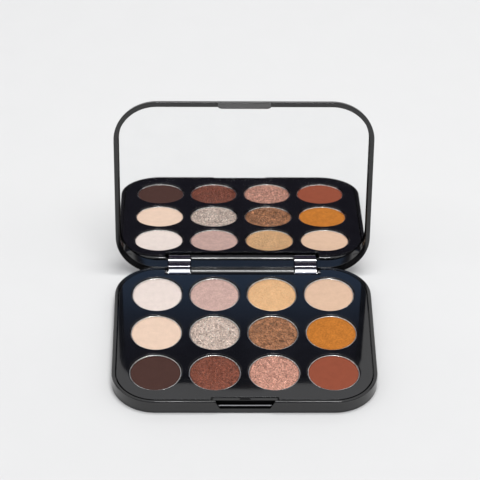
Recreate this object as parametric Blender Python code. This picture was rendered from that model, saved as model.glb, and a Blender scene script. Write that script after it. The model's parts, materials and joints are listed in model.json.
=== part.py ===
"""A twelve-pan eyeshadow palette, open: base with its pans, and a mirrored lid on a rear hinge.

Metres, +Z up. The origin is at the centre of the base's underside, +X runs along the hinge,
and -Y is the front. The lid is modelled closed, about the hinge axis, and turned open by an empty.
"""

from math import cos, pi, radians, sin

import bmesh
import bpy
from mathutils import Vector

MM = 0.001
GAP = 0.3 * MM  # between pieces that touch

# Case outline, shared by the base and the lid
CASE_HALF_X = 58.7 * MM
CASE_HALF_Y = 45.65 * MM
CASE_RADIUS = 19.6 * MM
CORNER_STEPS = 8
SHARP_ANGLE = radians(35)

# Base shell
BASE_HEIGHT = 6.5 * MM
BASE_FLOOR = 1.0 * MM
OVERLAP = 0.5 * MM  # how far a joined shape runs into its neighbour
BOTTOM_ROUND = 0.7 * MM
TOP_ROUND = 0.45 * MM
REAR_ROUND = 1.2 * MM

# Deck tray, let into the base shell
DECK_HALF_X = 56.8 * MM
DECK_FRONT = -44.2 * MM
DECK_REAR = 43.5 * MM
DECK_RADIUS = 17.7 * MM
DECK_PLATE = 1.2 * MM
DECK_SKIRT = 1.0 * MM
DECK_EDGE = 0.15 * MM
WELL_EDGE = 0.25 * MM

# Pans and powders, on a square grid about the base's centre
PITCH = 26.2 * MM
COLUMNS = 4
ROWS = 3
PAN_RADIUS = 11.5 * MM
PAN_WALL = 0.25 * MM
PAN_FLOOR_Z = 2.4 * MM
PAN_TOP_Z = 5.95 * MM
PAN_BASE = 0.3 * MM
PAN_EDGE = 0.4 * MM
WELL_RADIUS = PAN_RADIUS + GAP
CUP_WALL = 0.7 * MM
POWDER_TOP_Z = 5.71 * MM
POWDER_EDGE = 0.3 * MM
ROUND_SEGMENTS = 24

# Hinge
HINGE_Y = 43.61 * MM
HINGE_Z = 3.75 * MM
BARREL_RADIUS = 2.75 * MM
NOTCH_HALF_X = 36.0 * MM
NOTCH_FRONT = 39.7 * MM
KNUCKLE_IN_X = 24.3 * MM
KNUCKLE_OUT_X = 34.3 * MM
BARREL_HALF_X = KNUCKLE_IN_X - GAP
HINGE_PIN_RADIUS = 0.6 * MM
PIN_HOLE_RADIUS = HINGE_PIN_RADIUS + GAP
PIN_IN_X = 19.0 * MM
PIN_OUT_X = 39.5 * MM
CHEEK_OUT_X = 40.5 * MM
CHEEK_FRONT = 38.5 * MM
CHEEK_REAR = 44.5 * MM
CHEEK_TOP = 5.0 * MM
WEB_FRONT = HINGE_Y - 1.5 * MM
WEB_REAR = HINGE_Y + 1.2 * MM
OPEN_ANGLE = radians(96.85)

# Knuckle leaf, in the lid's frame: along the rim, then up at the mirror
LEAF_IN = -1.5 * MM
LEAF_UP = -4.7 * MM
LEAF_EASE = 0.4 * MM
LEAF_BEND_DEPTH = 0.9 * MM
LEAF_BACK_DEPTH = 1.9 * MM
SEAT_IN = LEAF_IN + GAP
SEAT_UP = LEAF_UP - GAP

# Lid, in its own frame about the hinge axis: y as when closed, z up from the axis
RIM_Z = BASE_HEIGHT + GAP - HINGE_Z
LID_THICKNESS = 4.6 * MM
LID_ROUND = 4.2 * MM
RIM_EASE = 0.2 * MM
RIM_SIDE = 1.85 * MM
RIM_FRONT = 2.15 * MM
RIM_REAR = 3.5 * MM
MIRROR_DEPTH = 2.3 * MM
MIRROR_THICKNESS = 0.9 * MM
MIRROR_BEVEL = 0.15 * MM
MIRROR_HALF_X = 56.45 * MM
MIRROR_REAR = -4.3 * MM
MIRROR_FRONT = -86.9 * MM
MIRROR_RADIUS = 17.2 * MM
ADHESIVE_THICKNESS = 0.15 * MM
ADHESIVE_INSET = 1.5 * MM
STACK_GAP = 0.2 * MM

# Latch, at the middle of the front
TAB_HALF_X = 11.9 * MM
TAB_DROP = 3.9 * MM
TAB_THICKNESS = 0.5 * MM
TAB_EASE = 2.0 * MM
TAB_SETBACK = 0.45 * MM
RECESS_HALF_TOP = 13.1 * MM
RECESS_HALF_BOTTOM = 11.4 * MM
RECESS_FLOOR_Z = 2.6 * MM
RECESS_EASE = 0.8 * MM
RECESS_BACK_TOP = -44.5 * MM
RECESS_BACK_BOTTOM = -43.45 * MM
PLATFORM_HALF_X = 14.15 * MM
PLATFORM_BACK = -43.03 * MM
LATCH_PIN_HALF_X = 12.9 * MM
LATCH_PIN_RADIUS = 0.35 * MM
LATCH_PIN_Y = -44.15 * MM
LATCH_PIN_Z = 3.17 * MM
SLOT_HALF_X = 2.4 * MM
SLOT_FRONT = -43.95 * MM
SLOT_BACK = -43.35 * MM
SLOT_DEPTH = 0.8 * MM

POWDER_COLOURS = (
    (0.83, 0.73, 0.67),
    (0.62, 0.42, 0.37),
    (0.78, 0.48, 0.25),
    (0.79, 0.54, 0.39),
    (0.85, 0.64, 0.50),
    (0.56, 0.46, 0.39),
    (0.33, 0.16, 0.09),
    (0.56, 0.19, 0.03),
    (0.08, 0.04, 0.03),
    (0.22, 0.075, 0.048),
    (0.55, 0.29, 0.21),
    (0.32, 0.084, 0.048),
)


def material(name, colour, roughness, metallic=0.0):
    made = bpy.data.materials.new(name)
    made.use_nodes = True
    shader = made.node_tree.nodes["Principled BSDF"]
    shader.inputs["Base Color"].default_value = (*colour, 1.0)
    shader.inputs["Roughness"].default_value = roughness
    shader.inputs["Metallic"].default_value = metallic
    return made


def object_from(bm, name, finish=None):
    """A named object from a bmesh, in the scene, with its normals facing out."""
    bmesh.ops.recalc_face_normals(bm, faces=bm.faces)
    mesh = bpy.data.meshes.new(name)
    bm.to_mesh(mesh)
    bm.free()
    made = bpy.data.objects.new(name, mesh)
    bpy.context.scene.collection.objects.link(made)
    if finish:
        mesh.materials.append(finish)
    return made


def outline(half_x, low_y, high_y, radius):
    """Corner points of a rounded rectangle, anticlockwise from the +X, -Y corner."""
    corners = (
        (half_x - radius, low_y + radius, -pi / 2),
        (half_x - radius, high_y - radius, 0.0),
        (radius - half_x, high_y - radius, pi / 2),
        (radius - half_x, low_y + radius, pi),
    )
    points = []
    for centre_x, centre_y, start in corners:
        for step in range(CORNER_STEPS + 1):
            turn = start + step * pi / 2 / CORNER_STEPS
            points.append((centre_x + radius * cos(turn), centre_y + radius * sin(turn)))
    return points


def loft(bm, loops):
    """Joins rings of the same number of points into a closed body with flat ends."""
    rings = [[bm.verts.new(point) for point in loop] for loop in loops]
    count = len(rings[0])
    for low, high in zip(rings, rings[1:]):
        for i in range(count):
            j = (i + 1) % count
            bm.faces.new((low[i], low[j], high[j], high[i]))
    bm.faces.new(rings[0][::-1])
    bm.faces.new(rings[-1])


def plate(name, half_x, low_y, high_y, radius, levels, finish=None):
    """A rounded plate: levels are (z, inset) pairs from the bottom up."""
    bm = bmesh.new()
    loops = []
    for z, inset in levels:
        points = outline(half_x - inset, low_y + inset, high_y - inset, radius - inset)
        loops.append([(x, y, z) for x, y in points])
    loft(bm, loops)
    return object_from(bm, name, finish)


def turned(name, centre, profile, finish=None, segments=ROUND_SEGMENTS):
    """A body of revolution about a vertical axis: profile is (radius, z) pairs, bottom up."""
    bm = bmesh.new()
    loops = []
    for radius, z in profile:
        loop = []
        for i in range(segments):
            turn = 2 * pi * i / segments
            loop.append((centre[0] + radius * cos(turn), centre[1] + radius * sin(turn), z))
        loops.append(loop)
    loft(bm, loops)
    return object_from(bm, name, finish)


def rod(name, low_x, high_x, centre, radius, finish=None, segments=ROUND_SEGMENTS):
    """A round bar along X."""
    bm = bmesh.new()
    loops = []
    for x in (low_x, high_x):
        loop = []
        for i in range(segments):
            turn = 2 * pi * i / segments
            loop.append((x, centre[0] + radius * cos(turn), centre[1] + radius * sin(turn)))
        loops.append(loop)
    loft(bm, loops)
    return object_from(bm, name, finish)


def bar(name, low_x, high_x, section, finish=None):
    """A prism along X of a section given as (y, z) points."""
    bm = bmesh.new()
    loft(bm, [[(x, y, z) for y, z in section] for x in (low_x, high_x)])
    return object_from(bm, name, finish)


def box(name, low, high, finish=None):
    section = ((low[1], low[2]), (high[1], low[2]), (high[1], high[2]), (low[1], high[2]))
    return bar(name, low[0], high[0], section, finish)


def rounding(radius, steps):
    """(rise, inset) pairs of a quarter round, from upright to flat."""
    pairs = []
    for step in range(steps + 1):
        turn = step * pi / 2 / steps
        pairs.append((radius * sin(turn), radius * (1 - cos(turn))))
    return pairs


def boolean(body, tool, operation):
    """Applies one Boolean and removes its tool."""
    modifier = body.modifiers.new(operation.lower(), "BOOLEAN")
    modifier.operation = operation
    modifier.solver = "EXACT"
    modifier.object = tool
    bpy.context.view_layer.update()
    graph = bpy.context.evaluated_depsgraph_get()
    mesh = bpy.data.meshes.new_from_object(body.evaluated_get(graph))
    old = body.data
    body.modifiers.clear()
    body.data = mesh
    bpy.data.meshes.remove(old)
    bpy.data.objects.remove(tool)


def smooth(body):
    body.data.shade_smooth()
    body.data.set_sharp_from_angle(angle=SHARP_ANGLE)


def case_levels(height, bottom_round, top_round):
    """Levels of a slab with rounded bottom and top edges."""
    levels = [(bottom_round - rise, inset) for rise, inset in reversed(rounding(bottom_round, 3))]
    levels += [(height - top_round + rise, inset) for rise, inset in rounding(top_round, 3)]
    return levels


def rear_edge_cutter():
    """Takes the case's rear top edge down to a larger round, so the lid's rim swings past it."""
    steps = 4
    section = [(CASE_HALF_Y - REAR_ROUND, BASE_HEIGHT + MM)]
    for step in range(steps + 1):
        turn = pi / 2 * (1 - step / steps)
        across = CASE_HALF_Y - REAR_ROUND + REAR_ROUND * cos(turn)
        up = BASE_HEIGHT - REAR_ROUND + REAR_ROUND * sin(turn)
        section.append((across, up))
    section.append((CASE_HALF_Y + MM, BASE_HEIGHT - REAR_ROUND))
    section.append((CASE_HALF_Y + MM, BASE_HEIGHT + MM))
    return bar("rear_edge_cutter", -CASE_HALF_X, CASE_HALF_X, section)


def recess_cutter():
    """The latch recess: wider at the top than at the bottom, with a back wall that overhangs."""
    outside = -CASE_HALF_Y - MM
    lean = (RECESS_BACK_TOP - RECESS_BACK_BOTTOM) / (BASE_HEIGHT - RECESS_FLOOR_Z)
    section = (
        (-RECESS_HALF_BOTTOM + RECESS_EASE, RECESS_FLOOR_Z),
        (RECESS_HALF_BOTTOM - RECESS_EASE, RECESS_FLOOR_Z),
        (RECESS_HALF_BOTTOM, RECESS_FLOOR_Z + RECESS_EASE),
        (RECESS_HALF_TOP, BASE_HEIGHT + MM),
        (-RECESS_HALF_TOP, BASE_HEIGHT + MM),
        (-RECESS_HALF_BOTTOM, RECESS_FLOOR_Z + RECESS_EASE),
    )
    back = [(x, RECESS_BACK_BOTTOM + lean * (z - RECESS_FLOOR_Z), z) for x, z in section]
    bm = bmesh.new()
    loft(bm, [back, [(x, outside, z) for x, z in section]])
    return object_from(bm, "recess_cutter")


def base_shell(finish):
    """Bottom case: floor, wall, latch platform and recess, hinge cheeks and middle barrel."""
    shell = plate(
        "base_shell", CASE_HALF_X, -CASE_HALF_Y, CASE_HALF_Y, CASE_RADIUS,
        case_levels(BASE_HEIGHT, BOTTOM_ROUND, TOP_ROUND), finish,
    )
    boolean(shell, rear_edge_cutter(), "DIFFERENCE")
    cavity = plate(
        "cavity", DECK_HALF_X + GAP, DECK_FRONT - GAP, DECK_REAR + GAP, DECK_RADIUS + GAP,
        [(BASE_FLOOR, 0), (BASE_HEIGHT + MM, 0)],
    )
    boolean(shell, cavity, "DIFFERENCE")
    platform = box(
        "platform",
        (-PLATFORM_HALF_X, DECK_FRONT - GAP - OVERLAP, BASE_FLOOR - OVERLAP),
        (PLATFORM_HALF_X, PLATFORM_BACK, BASE_HEIGHT),
    )
    boolean(shell, platform, "UNION")
    boolean(shell, recess_cutter(), "DIFFERENCE")
    reach = LATCH_PIN_HALF_X + GAP
    place = (LATCH_PIN_Y, LATCH_PIN_Z)
    hole = rod("latch_pin_hole", -reach, reach, place, LATCH_PIN_RADIUS + GAP, segments=12)
    boolean(shell, hole, "DIFFERENCE")
    slot = box(
        "slot",
        (-SLOT_HALF_X, SLOT_FRONT, BASE_HEIGHT - SLOT_DEPTH),
        (SLOT_HALF_X, SLOT_BACK, BASE_HEIGHT + MM),
    )
    boolean(shell, slot, "DIFFERENCE")
    notch = box(
        "notch",
        (-NOTCH_HALF_X, NOTCH_FRONT, BASE_FLOOR),
        (NOTCH_HALF_X, CASE_HALF_Y + MM, BASE_HEIGHT + MM),
    )
    boolean(shell, notch, "DIFFERENCE")
    web = box(
        "web",
        (-BARREL_HALF_X, WEB_FRONT, BASE_FLOOR - OVERLAP),
        (BARREL_HALF_X, WEB_REAR, HINGE_Z),
    )
    boolean(shell, web, "UNION")
    barrel = rod("barrel", -BARREL_HALF_X, BARREL_HALF_X, (HINGE_Y, HINGE_Z), BARREL_RADIUS)
    boolean(shell, barrel, "UNION")
    for side in (-1, 1):
        ends = sorted((side * NOTCH_HALF_X, side * CHEEK_OUT_X))
        low = (ends[0], CHEEK_FRONT, BASE_FLOOR - OVERLAP)
        boolean(shell, box("cheek", low, (ends[1], CHEEK_REAR, CHEEK_TOP)), "UNION")
        ends = sorted((side * (PIN_IN_X - GAP), side * (PIN_OUT_X + GAP)))
        hole = rod("pin_hole", ends[0], ends[1], (HINGE_Y, HINGE_Z), PIN_HOLE_RADIUS, segments=16)
        boolean(shell, hole, "DIFFERENCE")
    smooth(shell)
    return shell


def well_centres():
    """(row, column, x, y), the back row first and from left to right."""
    places = []
    for row in range(ROWS):
        for column in range(COLUMNS):
            x = (column - (COLUMNS - 1) / 2) * PITCH
            y = ((ROWS - 1) / 2 - row) * PITCH
            places.append((row + 1, column + 1, x, y))
    return places


def deck_tray(finish):
    """Insert: a top plate with a skirt round its edge and a cup under each well, open below."""
    levels = [(BASE_FLOOR + GAP, 0), (BASE_HEIGHT - DECK_EDGE, 0), (BASE_HEIGHT, DECK_EDGE)]
    tray = plate("deck_tray", DECK_HALF_X, DECK_FRONT, DECK_REAR, DECK_RADIUS, levels, finish)
    under = plate(
        "under", DECK_HALF_X - DECK_SKIRT, DECK_FRONT + DECK_SKIRT, DECK_REAR - DECK_SKIRT,
        DECK_RADIUS - DECK_SKIRT, [(-MM, 0), (BASE_HEIGHT - DECK_PLATE, 0)],
    )
    boolean(tray, under, "DIFFERENCE")
    top = BASE_HEIGHT - 0.5 * DECK_PLATE
    for _, _, x, y in well_centres():
        cup = turned(
            "cup", (x, y),
            [(WELL_RADIUS + CUP_WALL, BASE_FLOOR + GAP), (WELL_RADIUS + CUP_WALL, top)],
        )
        boolean(tray, cup, "UNION")
    well_floor = PAN_FLOOR_Z - GAP
    for _, _, x, y in well_centres():
        well = turned(
            "well", (x, y),
            [
                (WELL_RADIUS, well_floor),
                (WELL_RADIUS, BASE_HEIGHT - WELL_EDGE),
                (WELL_RADIUS + WELL_EDGE, BASE_HEIGHT),
                (WELL_RADIUS + WELL_EDGE, BASE_HEIGHT + MM),
            ],
        )
        boolean(tray, well, "DIFFERENCE")
    latch_gap = box(
        "latch_gap",
        (-PLATFORM_HALF_X - GAP, DECK_FRONT - MM, -MM),
        (PLATFORM_HALF_X + GAP, PLATFORM_BACK + GAP, BASE_HEIGHT + MM),
    )
    boolean(tray, latch_gap, "DIFFERENCE")
    hinge_gap = box(
        "hinge_gap",
        (-NOTCH_HALF_X, NOTCH_FRONT, -MM),
        (NOTCH_HALF_X, DECK_REAR + MM, BASE_HEIGHT + MM),
    )
    boolean(tray, hinge_gap, "DIFFERENCE")
    for side in (-1, 1):
        ends = sorted((side * (NOTCH_HALF_X - MM), side * (CHEEK_OUT_X + GAP)))
        high = (ends[1], DECK_REAR + MM, CHEEK_TOP + GAP)
        cheek_gap = box("cheek_gap", (ends[0], CHEEK_FRONT - GAP, -MM), high)
        boolean(tray, cheek_gap, "DIFFERENCE")
    smooth(tray)
    return tray


def pan(row, column, x, y, finish):
    """A pressed round pan, open at the top."""
    inside = PAN_RADIUS - PAN_WALL
    profile = [
        (PAN_RADIUS - PAN_EDGE, PAN_FLOOR_Z),
        (PAN_RADIUS, PAN_FLOOR_Z + PAN_EDGE),
        (PAN_RADIUS, PAN_TOP_Z),
        (inside, PAN_TOP_Z),
        (inside, PAN_FLOOR_Z + PAN_EDGE + PAN_BASE),
        (inside - PAN_EDGE, PAN_FLOOR_Z + PAN_BASE),
    ]
    cup = turned(f"pan_r{row}c{column}", (x, y), profile, finish)
    smooth(cup)
    return cup


def powder(row, column, x, y, finish):
    """Pressed powder with a softened upper edge."""
    radius = PAN_RADIUS - PAN_WALL - GAP
    floor = PAN_FLOOR_Z + PAN_BASE + GAP
    profile = [(radius - PAN_EDGE, floor), (radius, floor + PAN_EDGE)]
    for rise, inset in rounding(POWDER_EDGE, 2):
        profile.append((radius - inset, POWDER_TOP_Z - POWDER_EDGE + rise))
    cake = turned(f"powder_r{row}c{column}", (x, y), profile, finish)
    smooth(cake)
    return cake


def lid_outline(inset_side, inset_front, inset_rear, radius):
    return (
        CASE_HALF_X - inset_side,
        -CASE_HALF_Y - HINGE_Y + inset_front,
        CASE_HALF_Y - HINGE_Y - inset_rear,
        radius,
    )


def lid_recess_cutter():
    """The mirror's recess: sloping walls from the rim to the mirror, then upright to the back."""
    mirror_z = RIM_Z + MIRROR_DEPTH
    back = mirror_z + MIRROR_THICKNESS + STACK_GAP + ADHESIVE_THICKNESS + STACK_GAP
    mouth = lid_outline(RIM_SIDE, RIM_FRONT, RIM_REAR, CASE_RADIUS - RIM_SIDE)
    seat = (
        MIRROR_HALF_X + GAP, MIRROR_FRONT - GAP, MIRROR_REAR + GAP, MIRROR_RADIUS + GAP,
    )
    levels = ((mouth, RIM_Z - MM), (mouth, RIM_Z), (seat, mirror_z - STACK_GAP), (seat, back))
    bm = bmesh.new()
    loops = [[(x, y, z) for x, y in outline(*shape)] for shape, z in levels]
    loft(bm, loops)
    return object_from(bm, "lid_recess_cutter")


def latch_tab():
    """The tab that drops into the base's latch recess, with eased lower corners."""
    low = RIM_Z - TAB_DROP
    section = (
        (-TAB_HALF_X + TAB_EASE, low),
        (TAB_HALF_X - TAB_EASE, low),
        (TAB_HALF_X, low + TAB_EASE),
        (TAB_HALF_X, RIM_Z + OVERLAP),
        (-TAB_HALF_X, RIM_Z + OVERLAP),
        (-TAB_HALF_X, low + TAB_EASE),
    )
    front = -CASE_HALF_Y - HINGE_Y + TAB_SETBACK
    bm = bmesh.new()
    loft(bm, [[(x, y, z) for x, z in section] for y in (front, front + TAB_THICKNESS)])
    return object_from(bm, "latch_tab")


def lid_shell(finish):
    """Cover: a rounded slab with the mirror's recess, the latch tab and two seats for knuckles."""
    half_x, low_y, high_y, radius = lid_outline(0, 0, 0, CASE_RADIUS)
    top = RIM_Z + LID_THICKNESS
    levels = [(RIM_Z, RIM_EASE), (RIM_Z + RIM_EASE, 0)]
    levels += [(top - LID_ROUND + rise, inset) for rise, inset in rounding(LID_ROUND, 5)]
    shell = plate("lid_shell", half_x, low_y, high_y, radius, levels, finish)
    boolean(shell, lid_recess_cutter(), "DIFFERENCE")
    boolean(shell, latch_tab(), "UNION")
    for side in (-1, 1):
        ends = sorted((side * (KNUCKLE_IN_X - GAP), side * (KNUCKLE_OUT_X + GAP)))
        seat = box(
            "knuckle_seat",
            (ends[0], SEAT_UP, RIM_Z - MM),
            (ends[1], SEAT_IN, RIM_Z + LEAF_BACK_DEPTH + GAP),
        )
        boolean(shell, seat, "DIFFERENCE")
    smooth(shell)
    return shell


def mirror(finish):
    low = RIM_Z + MIRROR_DEPTH
    levels = [(low, MIRROR_BEVEL), (low + MIRROR_BEVEL, 0), (low + MIRROR_THICKNESS, 0)]
    return plate(
        "mirror", MIRROR_HALF_X, MIRROR_FRONT, MIRROR_REAR, MIRROR_RADIUS, levels, finish,
    )


def mirror_adhesive(finish):
    low = RIM_Z + MIRROR_DEPTH + MIRROR_THICKNESS + STACK_GAP
    levels = [(low, ADHESIVE_INSET), (low + ADHESIVE_THICKNESS, ADHESIVE_INSET)]
    return plate(
        "mirror_adhesive", MIRROR_HALF_X, MIRROR_FRONT, MIRROR_REAR, MIRROR_RADIUS, levels, finish,
    )


def hinge_knuckle(side, finish):
    """A knuckle on the pin, with a leaf that runs into the lid's rim and turns up at the mirror."""
    ends = sorted((side * KNUCKLE_IN_X, side * KNUCKLE_OUT_X))
    name = "hinge_knuckle_left" if side < 0 else "hinge_knuckle_right"
    knuckle = rod(name, ends[0], ends[1], (0, 0), BARREL_RADIUS, finish)
    leaf_out = -BARREL_RADIUS * cos(pi / ROUND_SEGMENTS)
    back = RIM_Z + LEAF_BACK_DEPTH
    bend = RIM_Z + LEAF_BEND_DEPTH
    section = (
        (LEAF_IN, 0), (LEAF_IN, back), (LEAF_UP, back), (LEAF_UP, bend + LEAF_EASE),
        (LEAF_UP + LEAF_EASE, bend), (leaf_out, bend), (leaf_out, 0),
    )
    boolean(knuckle, bar("leaf", ends[0], ends[1], section), "UNION")
    hole = rod("hole", ends[0] - MM, ends[1] + MM, (0, 0), PIN_HOLE_RADIUS, segments=16)
    boolean(knuckle, hole, "DIFFERENCE")
    smooth(knuckle)
    return knuckle


def hinge_pin(side, finish):
    ends = sorted((side * PIN_IN_X, side * PIN_OUT_X))
    name = "hinge_pin_left" if side < 0 else "hinge_pin_right"
    made = rod(name, ends[0], ends[1], (HINGE_Y, HINGE_Z), HINGE_PIN_RADIUS, finish, segments=16)
    smooth(made)
    return made


def latch_pin(finish):
    """The wire across the recess that the lid's tab snaps over."""
    place = (LATCH_PIN_Y, LATCH_PIN_Z)
    made = rod(
        "latch_pin", -LATCH_PIN_HALF_X, LATCH_PIN_HALF_X, place, LATCH_PIN_RADIUS, finish, segments=12,
    )
    smooth(made)
    return made


def build():
    for old in list(bpy.data.objects):
        bpy.data.objects.remove(old)

    shell_black = material("shell_black", (0.018, 0.018, 0.020), 0.22)
    deck_black = material("deck_black", (0.012, 0.013, 0.017), 0.12)
    steel = material("hinge_steel", (0.72, 0.72, 0.74), 0.22, 1.0)
    aluminium = material("pan_aluminium", (0.80, 0.79, 0.77), 0.35, 1.0)
    silver = material("mirror_silver", (0.92, 0.93, 0.93), 0.02, 1.0)
    tape = material("adhesive_white", (0.75, 0.74, 0.70), 0.7)

    base_shell(shell_black)
    deck_tray(deck_black)
    for (row, column, x, y), colour in zip(well_centres(), POWDER_COLOURS):
        pan(row, column, x, y, aluminium)
        powder(row, column, x, y, material(f"powder_{row}{column}", colour, 0.8))
    latch_pin(steel)
    for side in (-1, 1):
        hinge_pin(side, steel)

    lid = [lid_shell(shell_black), mirror(silver), mirror_adhesive(tape)]
    lid += [hinge_knuckle(side, steel) for side in (-1, 1)]
    axis = bpy.data.objects.new("lid_axis", None)
    bpy.context.scene.collection.objects.link(axis)
    axis.location = Vector((0, HINGE_Y, HINGE_Z))
    axis.rotation_euler = (-OPEN_ANGLE, 0, 0)
    for piece in lid:
        piece.parent = axis


build()
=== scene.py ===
import json
from math import cos, pi, radians, sin

import bmesh
import bpy
import numpy as np
from mathutils import Matrix, Vector


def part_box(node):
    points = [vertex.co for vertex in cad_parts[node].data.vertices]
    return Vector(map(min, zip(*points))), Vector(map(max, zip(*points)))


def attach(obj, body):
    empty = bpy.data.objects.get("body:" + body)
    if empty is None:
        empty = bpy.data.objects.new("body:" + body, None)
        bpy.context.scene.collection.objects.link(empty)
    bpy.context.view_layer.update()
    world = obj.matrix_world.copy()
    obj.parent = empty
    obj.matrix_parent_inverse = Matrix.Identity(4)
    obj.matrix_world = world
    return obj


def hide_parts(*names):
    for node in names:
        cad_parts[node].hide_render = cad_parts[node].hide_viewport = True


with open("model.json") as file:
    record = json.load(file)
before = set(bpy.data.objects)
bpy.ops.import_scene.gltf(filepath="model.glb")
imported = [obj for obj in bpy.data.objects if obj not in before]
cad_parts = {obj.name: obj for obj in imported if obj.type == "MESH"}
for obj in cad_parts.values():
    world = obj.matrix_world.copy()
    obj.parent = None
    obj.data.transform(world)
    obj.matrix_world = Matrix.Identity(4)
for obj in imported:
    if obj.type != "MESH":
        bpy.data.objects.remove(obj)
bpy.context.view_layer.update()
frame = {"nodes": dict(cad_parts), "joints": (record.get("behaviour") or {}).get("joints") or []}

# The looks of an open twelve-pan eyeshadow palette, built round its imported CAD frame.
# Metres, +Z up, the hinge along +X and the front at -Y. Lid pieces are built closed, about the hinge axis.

MM = 0.001
SEED = 7

# Clearances between pieces, and how far tools and joined parts reach past a surface
GAP = 0.3 * MM
PIN_CLEARANCE = 0.3 * MM
OVERLAP = 0.5 * MM
REACH = 1.0 * MM

# Resolution of the curved forms
CORNER_STEPS = 24
LID_STEPS = 12
TAB_STEPS = 8
ROUND_STEPS = 6
RIM_STEPS = 5
EDGE_STEPS = 4
FINE_STEPS = 3
CIRCLE = 96
ROD_CIRCLE = 64
PIN_CIRCLE = 48
HOLE_CIRCLE = 32

# Edges too small for the CAD
EDGE = 0.12 * MM
FINE_EDGE = 0.07 * MM
SHARP = radians(40)

joint = frame["joints"][0]
hinge = Vector(joint["pos_m"])
open_angle = radians(joint["range_deg"][1])
OPEN = Matrix.Translation(hinge) @ Matrix.Rotation(-open_angle, 4, "X")
CLOSED = OPEN.inverted()


def closed_box(node):
    """(low, high) of a lid node with the lid closed, about the hinge axis."""
    points = np.array([CLOSED @ v.co for v in frame["nodes"][node].data.vertices])
    return Vector(points.min(0)), Vector(points.max(0))


# ---------------------------------------------------------------- sizes from the frame
case_low, case_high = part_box("base_shell")
case_half_x = case_high.x
case_half_y = -case_low.y
base_height = case_high.z
deck_low, deck_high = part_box("deck_tray")
lid_low, lid_high = closed_box("lid_shell")
mirror_low, mirror_high = closed_box("mirror")
knuckle_low, knuckle_high = closed_box("hinge_knuckle_right")
pin_low, pin_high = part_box("hinge_pin_right")
catch_low, catch_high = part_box("latch_pin")
barrel_radius = knuckle_high.y
hinge_pin_radius = (pin_high.z - pin_low.z) / 2
rim_z = base_height + GAP - hinge.z

# Base shell
CASE_RADIUS = 19.6 * MM
BASE_FLOOR = 1.0 * MM
BOTTOM_ROUND = 0.35 * MM
TOP_ROUND = 0.58 * MM
REAR_ROUND = 1.2 * MM
REAR_START = 0.3
REAR_SPAN = 0.65

# Deck
DECK_RADIUS = 17.7 * MM
DECK_EDGE = 0.1 * MM
SEAM = 0.28 * MM
DECK_PLATE = 1.2 * MM
DECK_SKIRT = 1.0 * MM
WELL_EDGE = 0.2 * MM
CUP_WALL = 0.7 * MM

# Pans and powders
PAN_WALL = 0.4 * MM
PAN_BASE = 0.3 * MM
PAN_CORNER = 0.4 * MM
PAN_STEPS = 5
BEAD_STEPS = 13
POWDER_ROUND = 0.28 * MM
POWDER_SIDE = 0.6 * MM
POWDER_TAPER = 0.5 * MM
POWDER_LIFT = 0.3 * MM
TIGHT_CLEARANCE = 0.03 * MM
POWDER_CLEARANCE = 0.12 * MM
SMOOTH_RELIEF = 0.03 * MM
FLAKE_RELIEF = 0.05 * MM
POWDER_RINGS = 30
POWDER_SPOKES = 128
WAVE_LENGTH = 2.2 * MM
WAVES = 9
WAVE_COUNTS = (0.5, 2.4)
CRUMBS = 8
CRUMB_COUNTS = (5, 40)
CRUMBLE = 0.05 * MM
CRUMBLE_LOSS = 0.03 * MM
CRUMBLE_START = 0.9

# Hinge
NOTCH_HALF_X = 36.0 * MM
NOTCH_FRONT = 39.7 * MM
NOTCH_FLOOR = 0.75 * MM
NOTCH_CORNER = 0.3 * MM
CHEEK_FRONT = 38.5 * MM
CHEEK_REAR = 44.5 * MM
CHEEK_TOP = 5.0 * MM
CHEEK_OUT_X = pin_high.x + 1.0 * MM
COLLAR_RADIUS = 1.5 * MM
COLLAR_EASE = 0.15 * MM
BARREL_HALF_X = knuckle_low.x - GAP
BARREL_EASE = 0.25 * MM
WEB_FRONT = hinge.y - 1.5 * MM
WEB_REAR = hinge.y + 1.2 * MM
KNUCKLE_EASE = 0.2 * MM
PIN_EASE_SHARE = 0.3

# Latch
RECESS_HALF_TOP = 13.1 * MM
RECESS_HALF_BOTTOM = 11.4 * MM
RECESS_FLOOR_Z = 2.6 * MM
RECESS_EASE = 0.8 * MM
RECESS_BACK_TOP = -44.5 * MM
RECESS_BACK_BOTTOM = -43.45 * MM
PLATFORM_HALF_X = 14.15 * MM
PLATFORM_BACK = -43.03 * MM
PLATFORM_CORNER = 0.3 * MM
SLOT_HALF_X = 2.4 * MM
SLOT_FRONT = -43.95 * MM
SLOT_BACK = -43.35 * MM
SLOT_DEPTH = 0.8 * MM
SLOT_CORNER = 0.25 * MM

# Lid, about the hinge axis
LID_ROUND = 4.2 * MM
LID_BACK_WALL = lid_high.z - (mirror_high.z + 0.55 * MM)
RIM_EASE = 0.3 * MM
RIM_SIDE = 1.85 * MM
RIM_FRONT = 2.15 * MM
RIM_REAR = 3.5 * MM
RIM_INNER_ROUND = 0.12 * MM
MIRROR_RADIUS = 17.2 * MM
MIRROR_BEVEL = 0.22 * MM
MIRROR_LIP = 0.2 * MM
LEAF_IN = -1.5 * MM
LEAF_OUT = -0.995 * barrel_radius
LEAF_EASE = 1.0 * MM
LEAF_BEND = rim_z + 0.9 * MM
leaf_front = knuckle_low.y
leaf_back = knuckle_high.z
TAB_HALF_X = 11.9 * MM
TAB_SETBACK = 0.45 * MM
TAB_THICKNESS = 0.5 * MM
TAB_EASE = 2.0 * MM
TAB_EDGE = 0.1 * MM
TAB_ROOT = 1.6 * MM
TAB_FILLET = 0.25 * MM


# ---------------------------------------------------------------- mesh tools
def quarter(radius, steps=ROUND_STEPS):
    """(rise, inset) pairs of a quarter round, from upright to flat."""
    turns = [step * pi / 2 / steps for step in range(steps + 1)]
    return [(radius * sin(turn), radius * (1 - cos(turn))) for turn in turns]


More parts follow.
